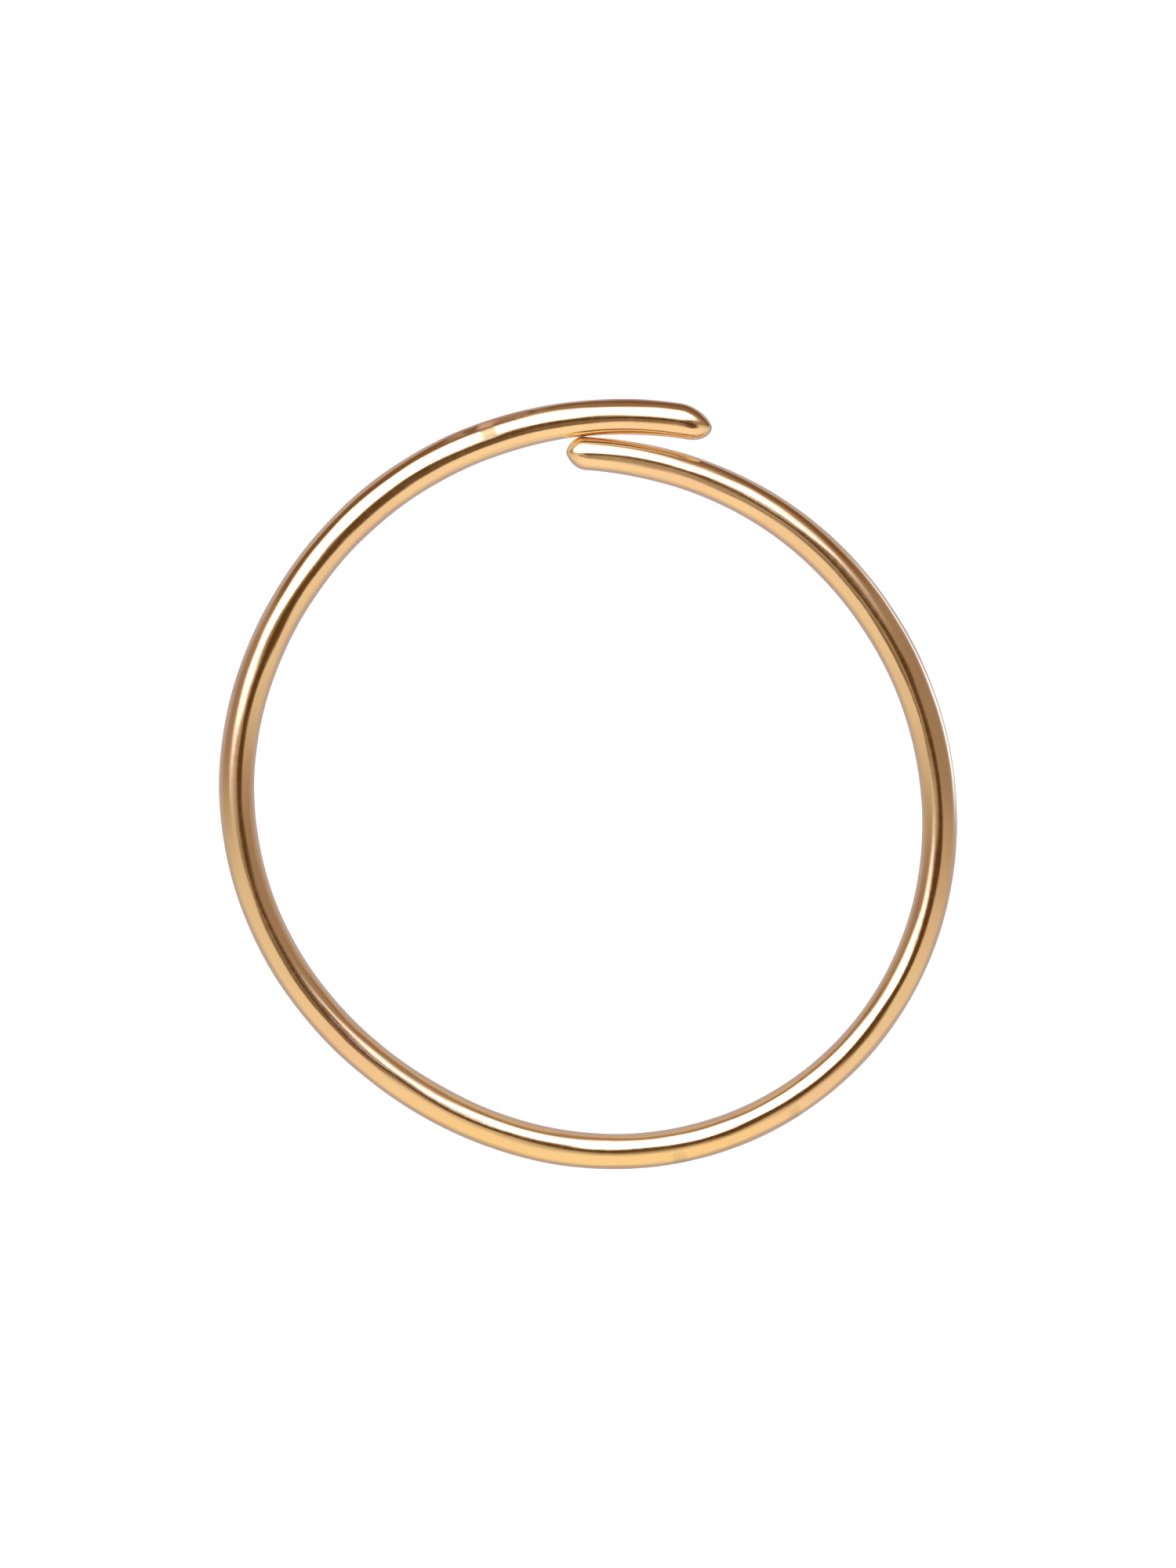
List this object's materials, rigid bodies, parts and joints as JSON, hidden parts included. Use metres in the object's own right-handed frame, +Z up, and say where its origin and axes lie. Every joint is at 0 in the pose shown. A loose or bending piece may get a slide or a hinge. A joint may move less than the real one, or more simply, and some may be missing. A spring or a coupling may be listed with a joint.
{
  "type": "open nose ring",
  "caption": "Open round-wire nose ring with rounded ends that pass each other, bent from polished gold wire",
  "frame": {"origin": "the middle of the underside, on the surface that the ring lies on", "axes": "+Z up, out of the ring's plane; +Y to the top of the ring, where its ends pass each other; +X to the right"},
  "size_m": [0.0122, 0.0128, 0.0006],
  "materials": {
    "polished_gold": "polished 18 carat gold, warm yellow leaning to rose, faint marks from drawing and bending"
  },
  "bodies": {
    "root": {"ring_wire": "polished_gold"}
  },
  "joints": []
}
